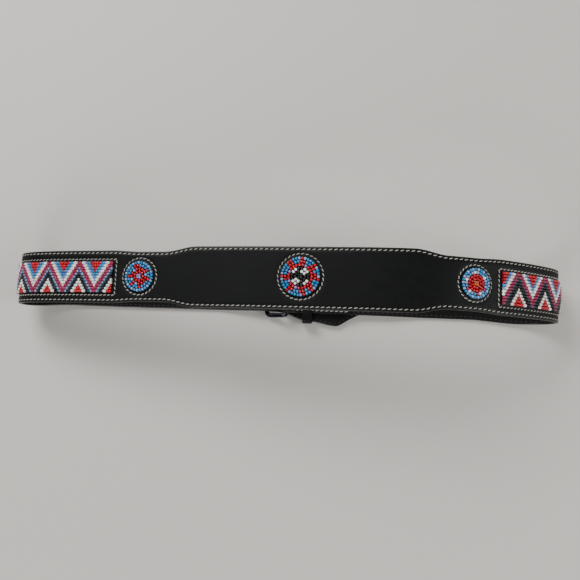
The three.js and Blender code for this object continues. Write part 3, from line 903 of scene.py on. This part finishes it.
def string_beads(name, bead, places, across, bore_turn, colours, seed):
    """One piece with a bead at every place. bore_turn is the bore's angle on the strap."""
    chance = np.random.default_rng(seed)
    count = len(places)
    origins, along, outward = on_strap(MIDDLE_PLACE + places, across, BEAD_RADIUS + SEAT)
    beside = np.cross(outward, along)
    turn = (bore_turn + chance.normal(0, BEAD_TILT, count))[:, None]
    bore = along * np.cos(turn) + beside * np.sin(turn)
    tilt = chance.normal(0, BEAD_TILT, count)[:, None]
    bore = bore * np.cos(tilt) + outward * np.sin(tilt)
    side = np.cross(outward, bore)
    side /= np.linalg.norm(side, axis=1)[:, None]
    size = 1 + chance.normal(0, BEAD_SIZE_SPREAD, (count, 1))
    axes = np.stack([bore, side * size, np.cross(bore, side) * size], axis=1)
    origins = origins + outward * chance.normal(0, BEAD_HEIGHT_SPREAD, (count, 1))
    points, faces = repeated(*bead, origins, axes)
    indices = np.repeat([BEAD_NAMES.index(colour) for colour in colours], len(bead[1]))
    piece = new_piece(name, points, faces, bead_glass, indices)
    tone = np.clip(chance.normal(1, BEAD_TONE_SPREAD, count), DARKEST_TONE, LIGHTEST_TONE)
    values = piece.data.attributes.new("tone", "FLOAT", "POINT")
    values.data.foreach_set("value", np.repeat(tone, len(bead[0])).astype(np.float32))
    return piece


# Zigzag panels: eleven rows of 75 beads. A chart counts beads sideways from the middle of a
# V plus rows down from the top, and each colour ends at its count. Most of the right
# panel's bands end a bead sooner, and the middle of its first V is at the inner edge.
PANEL_BEAD_LENGTH = 1.38 * MM
ZIGZAG = 20
LEFT_ZIGZAG = (
    (4, "red"),
    (6, "turquoise"),
    (7, "pale_blue"),
    (9, "white"),
    (12, "rose"),
    (13, "pale_blue"),
    (14, "deep_teal"),
    (16, "black"),
    (18, "white"),
    (ZIGZAG + PANEL_ROWS, "red"),
)
RIGHT_ZIGZAG = (
    (4, "red"),
    (5, "turquoise"),
    (6, "pale_blue"),
    (8, "white"),
    (11, "rose"),
    (12, "deep_teal"),
    (15, "black"),
    (17, "white"),
    (ZIGZAG + PANEL_ROWS, "red"),
)
PANELS = (
    # name, side of the middle, column of the first V, chart, seed of its unevenness
    ("left", -1, 10, LEFT_ZIGZAG, 19),
    ("right", 1, 0, RIGHT_ZIGZAG, 21),
)


def zigzag_colour(column, row, first_v, chart):
    """Colour of one bead in a panel."""
    sideways = abs((column - first_v + ZIGZAG / 2) % ZIGZAG - ZIGZAG / 2)
    return next(colour for end, colour in chart if sideways + row < end)


for name, side, first_v, chart, seed in PANELS:
    column, row = np.meshgrid(np.arange(PANEL_COLUMNS), np.arange(PANEL_ROWS))
    column, row = column.ravel(), row.ravel()
    places = side * (PANEL_START + (column + 0.5) * BEAD_PITCH)
    across = PANEL_RISE[side] + ((PANEL_ROWS - 1) / 2 - row) * ROW_PITCH
    colours = [zigzag_colour(c, r, first_v, chart) for c, r in zip(column, row)]
    panel = string_beads(
        f"zigzag_beads_{name}",
        bead_shape(PANEL_BEAD_LENGTH),
        places,
        across,
        0.0,
        colours,
        seed,
    )
    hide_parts(f"bead_panel_{name}")


# Medallions: rings of beads sewn down one by one, with a little leather between them. The
# colours are charted by ring, counted from the middle, and by degrees round it.
RING_BEAD_LENGTH = 1.8 * MM
MIDDLE_MEDALLION_RADIUS = 15.2 * MM
RIGHT_MEDALLION_RADIUS = 11.6 * MM
MIDDLE_SPOKES = np.array([34, 84, 128, 181, 231, 281, 316, 355])
MIDDLE_CORNERS = np.array([45, 135, 225, 315])
LEFT_POINTS = np.array([40, 107, 176, 228, 282, 345])
RIGHT_POINTS = np.array([216, 276, 328])
LEFT_RIM = ("turquoise", "pale_blue")
RIGHT_RIM = ("pale_blue", "turquoise")
RIGHT_FIELD = ("turquoise", "pale_blue", "white", "pale_blue")


def from_spoke(angle, spokes):
    """Degrees from the nearest of the spokes round a medallion."""
    return np.abs((angle - spokes + 180) % 360 - 180).min()


def middle_colour(ring, angle, bead):
    """A black centre with a white cross, a red ring, and blue wedges between red spokes."""
    spoke = from_spoke(angle, MIDDLE_SPOKES)
    corner = from_spoke(angle, MIDDLE_CORNERS)
    if ring == 6:
        return "red" if spoke < 5 else "pale_blue" if spoke < 11 else "turquoise"
    if ring == 5:
        return "red" if spoke < 12 else "turquoise"
    if ring == 4:
        return "lilac" if spoke > 19 else "red"
    if ring == 3:
        return "white" if corner < 14 else "black"
    if ring == 2:
        return "white" if 15 < angle < 90 or 205 < angle < 280 else "black"
    return "black"


def left_colour(ring, angle, bead):
    """A red star with six points and a lilac middle, in a field of blues."""
    point = from_spoke(angle, LEFT_POINTS)
    if ring == 5:
        return LEFT_RIM[bead % len(LEFT_RIM)]
    if ring == 4:
        return "red" if point < 9 else "turquoise"
    if ring == 3:
        return "red" if point < 24 else "pale_blue"
    return "red" if ring == 2 else "lilac"


def right_colour(ring, angle, bead):
    """A red disc with an orange eye and three rose points in rings of white and blue."""
    point = from_spoke(angle, RIGHT_POINTS)
    if ring == 5:
        return RIGHT_RIM[bead % len(RIGHT_RIM)]
    if ring == 4:
        return "rose" if point < 12 else RIGHT_FIELD[bead % len(RIGHT_FIELD)]
    return "red" if ring > 1 else "orange"


MIDDLE_COUNTS = (4, 10, 16, 23, 31, 38)
SIDE_COUNTS = (4, 9, 15, 22, 29)
MEDALLION_CHARTS = (
    # name, radius of the field, beads in each ring, colours, slot in the record
    ("middle", MIDDLE_MEDALLION_RADIUS, MIDDLE_COUNTS, middle_colour, "red_blue_beads"),
    ("left", LEFT_MEDALLION_RADIUS, SIDE_COUNTS, left_colour, "blue_beads"),
    ("right", RIGHT_MEDALLION_RADIUS, SIDE_COUNTS, right_colour, "blue_beads"),
)

for seed, ((place, rise, _), chart) in enumerate(zip(MEDALLIONS, MEDALLION_CHARTS)):
    name, radius, counts, colour_of, slot = chart
    places, across, turns, colours = [], [], [], []
    for ring, count in enumerate(counts, start=1):
        ring_radius = (ring - 0.5) * radius / len(counts)
        for i in range(count):
            angle = 360 / count * (i + (0.5 if ring % 2 else 0))
            turn = math.radians(angle)
            places.append(place + ring_radius * math.cos(turn))
            across.append(rise + ring_radius * math.sin(turn))
            turns.append(turn + math.pi / 2)
            colours.append(colour_of(ring, angle, i))
    medallion = string_beads(
        f"medallion_beads_{name}",
        bead_shape(RING_BEAD_LENGTH),
        np.array(places),
        np.array(across),
        np.array(turns),
        colours,
        seed,
    )
    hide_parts(f"medallion_{name}")


# Buckle
# A rectangle bent from steel wire, its heel bar held in the strap's fold and its toe bar
# under the tongue, with a wire prong curled round the heel bar and through the tongue's
# hole. All of it is blackened and brushed.
FRAME_INNER_WIDTH = 38.6 * MM
FRAME_CORNER = 3.6 * MM
PRONG_OVERHANG = 3.5 * MM
CURL_WALL = 1.6 * MM
CURL_WIDTH = 3.4 * MM
WIRE_SIDES = 20
FRAME_CORNER_STEPS = 10
FRAME_SIDE_STEPS = 14
PRONG_STEPS = 8
CURL_STEPS = 40
CURL_CORNER_STEPS = 3
CURL_SIDE_STEPS = 2
PRONG_TIP_BLUNTNESS = 0.2

# Blackened steel: dark and half shiny, with fine brush lines and lighter rubbed places
BRUSH_SIZE = 0.25 * MM
RUB_SIZE = 7 * MM
BRUSH_STRETCH = (1, 0.08, 1)
black_steel, tree, surface = new_material(
    "blackened_brushed_steel", "#303034", 0.34, {"Metallic": 1.0}
)
here = add_node(tree, "ShaderNodeTexCoord").outputs["Object"]
stretched = add_node(
    tree, "ShaderNodeVectorMath", {0: here, 1: BRUSH_STRETCH}, operation="MULTIPLY"
)
brush = add_node(
    tree,
    "ShaderNodeTexNoise",
    {"Vector": stretched.outputs["Vector"], "Scale": 1 / BRUSH_SIZE, "Detail": 2.0},
)
rubs = add_node(
    tree, "ShaderNodeTexNoise", {"Vector": here, "Scale": 1 / RUB_SIZE, "Detail": 5.0}
)
rub_share = add_node(
    tree,
    "ShaderNodeMapRange",
    {"Value": rubs.outputs["Fac"], "From Min": 0.52, "From Max": 0.66},
)
steel_colour = add_node(
    tree,
    "ShaderNodeMix",
    {"Factor": rub_share.outputs["Result"], "A": linear("#222226"), "B": linear("#5d5c60")},
    data_type="RGBA",
)
steel_roughness = add_node(
    tree,
    "ShaderNodeMapRange",
    {"Value": brush.outputs["Fac"], "To Min": 0.26, "To Max": 0.46},
)
steel_bump = add_node(
    tree,
    "ShaderNodeBump",
    {"Height": brush.outputs["Fac"], "Strength": 0.2, "Distance": 0.05 * MM},
)
tree.links.new(steel_colour.outputs["Result"], surface.inputs["Base Color"])
tree.links.new(steel_roughness.outputs["Result"], surface.inputs["Roughness"])
tree.links.new(steel_bump.outputs["Normal"], surface.inputs["Normal"])


def rounded_rectangle(left, right, low, high, corner, corner_steps, side_steps):
    """Points of a rounded rectangle and their outward directions."""
    corners = (
        (right - corner, low + corner, -math.pi / 2),
        (right - corner, high - corner, 0),
        (left + corner, high - corner, math.pi / 2),
        (left + corner, low + corner, math.pi),
    )
    points, outward = [], []
    for x, y, start in corners:
        for angle in start + np.linspace(0, math.pi / 2, corner_steps + 1):
            outward.append((math.cos(angle), math.sin(angle)))
            points.append((x + corner * outward[-1][0], y + corner * outward[-1][1]))
        following = corners[(len(points) // (corner_steps + side_steps) + 1) % 4]
        goal = (
            following[0] + corner * math.cos(following[2]),
            following[1] + corner * math.sin(following[2]),
        )
        begin = points[-1]
        for share in np.arange(1, side_steps) / side_steps:
            outward.append(outward[-1])
            points.append(tuple(b + (g - b) * share for b, g in zip(begin, goal)))
    return np.array(points), np.array(outward)


def round_wire(line, across, up, radius):
    """Loops of a round wire whose sections lie in the plane of two directions."""
    turn = np.arange(WIRE_SIDES) / WIRE_SIDES * 2 * math.pi
    radius = np.broadcast_to(radius, len(line))[:, None, None]
    sideways = np.cos(turn)[None, :, None] * across[:, None, :]
    upright = np.sin(turn)[None, :, None] * up[:, None, :]
    return line[:, None, :] + radius * (sideways + upright)


half_frame = FRAME_INNER_WIDTH / 2 + WIRE_RADIUS
outline, away = rounded_rectangle(
    TOE_BAR_X,
    HEEL_BAR_X,
    -half_frame,
    half_frame,
    FRAME_CORNER,
    FRAME_CORNER_STEPS,
    FRAME_SIDE_STEPS,
)
share = (outline[:, 0] - TOE_BAR_X) / (HEEL_BAR_X - TOE_BAR_X)
wire_z = TOE_BAR_Z + (HEEL_BAR_Z - TOE_BAR_Z) * ease(share)
wire_line = np.column_stack([MIDDLE_X + outline[:, 0], MIDDLE_Y + outline[:, 1], wire_z])
away = np.column_stack([away, np.zeros(len(away))])
up = np.broadcast_to([0.0, 0.0, 1.0], away.shape)
wire_loops = round_wire(wire_line, away, up, WIRE_RADIUS)
buckle_frame = new_piece("buckle_frame_wire", *skin(wire_loops, ring=True), [black_steel])

seat_radius = PRONG_RADIUS + GAP
seat_z = TOE_BAR_Z - WIRE_RADIUS + TOE_NOTCH - seat_radius
seat_line = np.array(
    [[MIDDLE_X + TOE_BAR_X + end * 2 * WIRE_RADIUS, MIDDLE_Y, seat_z] for end in (-1, 1)]
)
seat_loops = round_wire(
    seat_line, np.array([[0, 1.0, 0]] * 2), np.array([[0, 0, 1.0]] * 2), seat_radius
)
cut(buckle_frame, new_piece("prong_seat", *skin(seat_loops), [black_steel]))
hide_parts("buckle_frame")


def through(points, steps):
    """Smooth line through chosen points, as a wire takes them."""
    points = np.array(points, float)
    points = np.vstack([2 * points[0] - points[1], points, 2 * points[-1] - points[-2]])
    line = []
    for a, b, c, d in zip(points, points[1:], points[2:], points[3:]):
        ab, bc, cd = (np.linalg.norm(q - p) ** 0.5 for p, q in ((a, b), (b, c), (c, d)))
        leave = bc * ((b - a) / ab - (c - a) / (ab + bc) + (c - b) / bc)
        arrive = bc * ((c - b) / bc - (d - b) / (bc + cd) + (d - c) / cd)
        t = np.linspace(0, 1, steps, endpoint=False)[:, None]
        line.append(
            (2 * t**3 - 3 * t**2 + 1) * b
            + (t**3 - 2 * t**2 + t) * leave
            + (3 * t**2 - 2 * t**3) * c
            + (t**3 - t**2) * arrive
        )
    return np.vstack([*line, points[-2:-1]])


tongue_at_hole = float(read_rows(TONGUE_LIFT, PRONG_HOLE_X)) + LEATHER / 2
above_x = PRONG_HOLE_X + HOLE_LENGTH / 2
above_z = float(read_rows(TONGUE_LIFT, above_x)) + LEATHER + GAP + PRONG_RADIUS
lying_z = FLOOR_GAP + PRONG_RADIUS
prong_route = [
    (HEEL_BAR_X - WIRE_RADIUS - GAP, HEEL_BAR_Z - WIRE_RADIUS / 2),
    (above_x, above_z),
    (PRONG_HOLE_X, tongue_at_hole),
    (2 * PRONG_HOLE_X - above_x, (tongue_at_hole + lying_z) / 2 - PRONG_RADIUS / 2),
    (TOE_BAR_X, lying_z),
    (TOE_BAR_X - PRONG_OVERHANG, lying_z + GAP),
]
route = through(prong_route, PRONG_STEPS)
prong_line = np.column_stack(
    [MIDDLE_X + route[:, 0], np.full(len(route), MIDDLE_Y), route[:, 1]]
)
prong_along = np.gradient(prong_line, axis=0)
prong_along /= np.linalg.norm(prong_along, axis=1)[:, None]
prong_side = np.broadcast_to([0.0, 1.0, 0.0], prong_line.shape)
to_tip = run_of(prong_line[::-1])[::-1]
tip_share = np.clip(1 - to_tip / PRONG_RADIUS, 0, 1)
prong_radius = PRONG_RADIUS * np.sqrt(np.maximum(1 - tip_share**2, PRONG_TIP_BLUNTNESS))
prong_loops = round_wire(
    prong_line, prong_side, np.cross(prong_along, prong_side), prong_radius
)
prong = new_piece("buckle_prong_wire", *skin(prong_loops), [black_steel])

curl_outline, _ = rounded_rectangle(
    WIRE_RADIUS + GAP,
    WIRE_RADIUS + GAP + CURL_WALL,
    -CURL_WIDTH / 2,
    CURL_WIDTH / 2,
    CURL_WALL / 4,
    CURL_CORNER_STEPS,
    CURL_SIDE_STEPS,
)
curl_turn = np.linspace(0, 2 * math.pi, CURL_STEPS, endpoint=False)[:, None]
curl_loops = np.stack(
    [
        MIDDLE_X + HEEL_BAR_X + curl_outline[:, 0] * np.cos(curl_turn),
        MIDDLE_Y + curl_outline[:, 1] + 0 * curl_turn,
        HEEL_BAR_Z + curl_outline[:, 0] * np.sin(curl_turn),
    ],
    -1,
)
curl = new_piece("prong_curl", *skin(curl_loops, ring=True), [black_steel])
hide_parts("buckle_prong")


# Keeper
# A loose loop of the same leather round the strap, its flap and the tongue, 8 mm wide and
# skived to 1.6 mm, with rounded corners and edges.
KEEPER_CORNER = 3 * MM
KEEPER_EDGE = 0.5 * MM
KEEPER_CORNER_STEPS = 8
KEEPER_SIDE_STEPS = 10
KEEPER_EDGE_STEPS = 3
KEEPER_FACE_STEPS = 4

keeper_left = KEEPER_X - KEEPER_WIDTH / 2
flap_height = float(max(flap_middle(keeper_left), flap_middle(KEEPER_RIGHT)))
keeper_droop = float(read_rows(TONGUE_DROOP, KEEPER_RIGHT))
keeper_outline, keeper_away = rounded_rectangle(
    -TONGUE_WIDTH / 2 - keeper_droop - GAP - KEEPER_THICKNESS,
    BACK_WIDTH / 2 + GAP + KEEPER_THICKNESS,
    FLOOR_GAP,
    flap_height + SKIVED / 2 + GAP + KEEPER_THICKNESS,
    KEEPER_CORNER,
    KEEPER_CORNER_STEPS,
    KEEPER_SIDE_STEPS,
)
keeper_section, _ = rounded_rectangle(
    keeper_left,
    KEEPER_RIGHT,
    -KEEPER_THICKNESS,
    0,
    KEEPER_EDGE,
    KEEPER_EDGE_STEPS,
    KEEPER_FACE_STEPS,
)
keeper_loops = np.stack(
    [
        np.broadcast_to(
            MIDDLE_X + keeper_section[:, 0], (len(keeper_outline), len(keeper_section))
        ),
        MIDDLE_Y + keeper_outline[:, :1] + keeper_away[:, :1] * keeper_section[:, 1],
        keeper_outline[:, 1:] + keeper_away[:, 1:] * keeper_section[:, 1],
    ],
    -1,
)
keeper = new_piece("keeper_band", *skin(keeper_loops, ring=True), [bridle_leather])
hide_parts("keeper")


# Floor and light
# A plain pale floor, with large soft lamps over the belt and a pale surround.
FLOOR_SIZE = 6
FLOOR_DROP = 0.05 * MM
SURROUND_STRENGTH = 0.4

floor_half = FLOOR_SIZE / 2
floor_corners = ((-1, -1), (1, -1), (1, 1), (-1, 1))
floor_mesh = bpy.data.meshes.new("floor")
floor_mesh.from_pydata([(x, y, -FLOOR_DROP) for x, y in floor_corners], [], [(0, 1, 2, 3)])
floor_mesh.transform(Matrix.Diagonal((floor_half, floor_half, 1, 1)))
floor = bpy.data.objects.new("floor", floor_mesh)
bpy.context.scene.collection.objects.link(floor)
floor_paint, _, _ = new_material("matt_floor_paint", "#c9c5be", 0.7)
floor_mesh.materials.append(floor_paint)

LAMPS = (
    # name, place, size, watts
    ("lamp_over", (-0.6, 0.9, 1.0), 0.7, 21),
    ("lamp_right", (1.1, -0.2, 0.6), 0.5, 7.5),
    ("lamp_front", (-0.4, -1.2, 0.6), 0.6, 10),
)
for name, place, size, watts in LAMPS:
    lamp = bpy.data.objects.new(name, bpy.data.lights.new(name, "AREA"))
    bpy.context.scene.collection.objects.link(lamp)
    lamp.data.energy = watts
    lamp.data.size = size
    lamp.location = place
    lamp.rotation_euler = (-Vector(place)).to_track_quat("-Z", "Y").to_euler()

surround = bpy.data.worlds.new("pale_surround")
surround.use_nodes = True
surround.node_tree.nodes["Background"].inputs["Color"].default_value = linear("#e6e6e8")
surround.node_tree.nodes["Background"].inputs["Strength"].default_value = SURROUND_STRENGTH
bpy.context.scene.world = surround

bpy.context.view_layer.update()
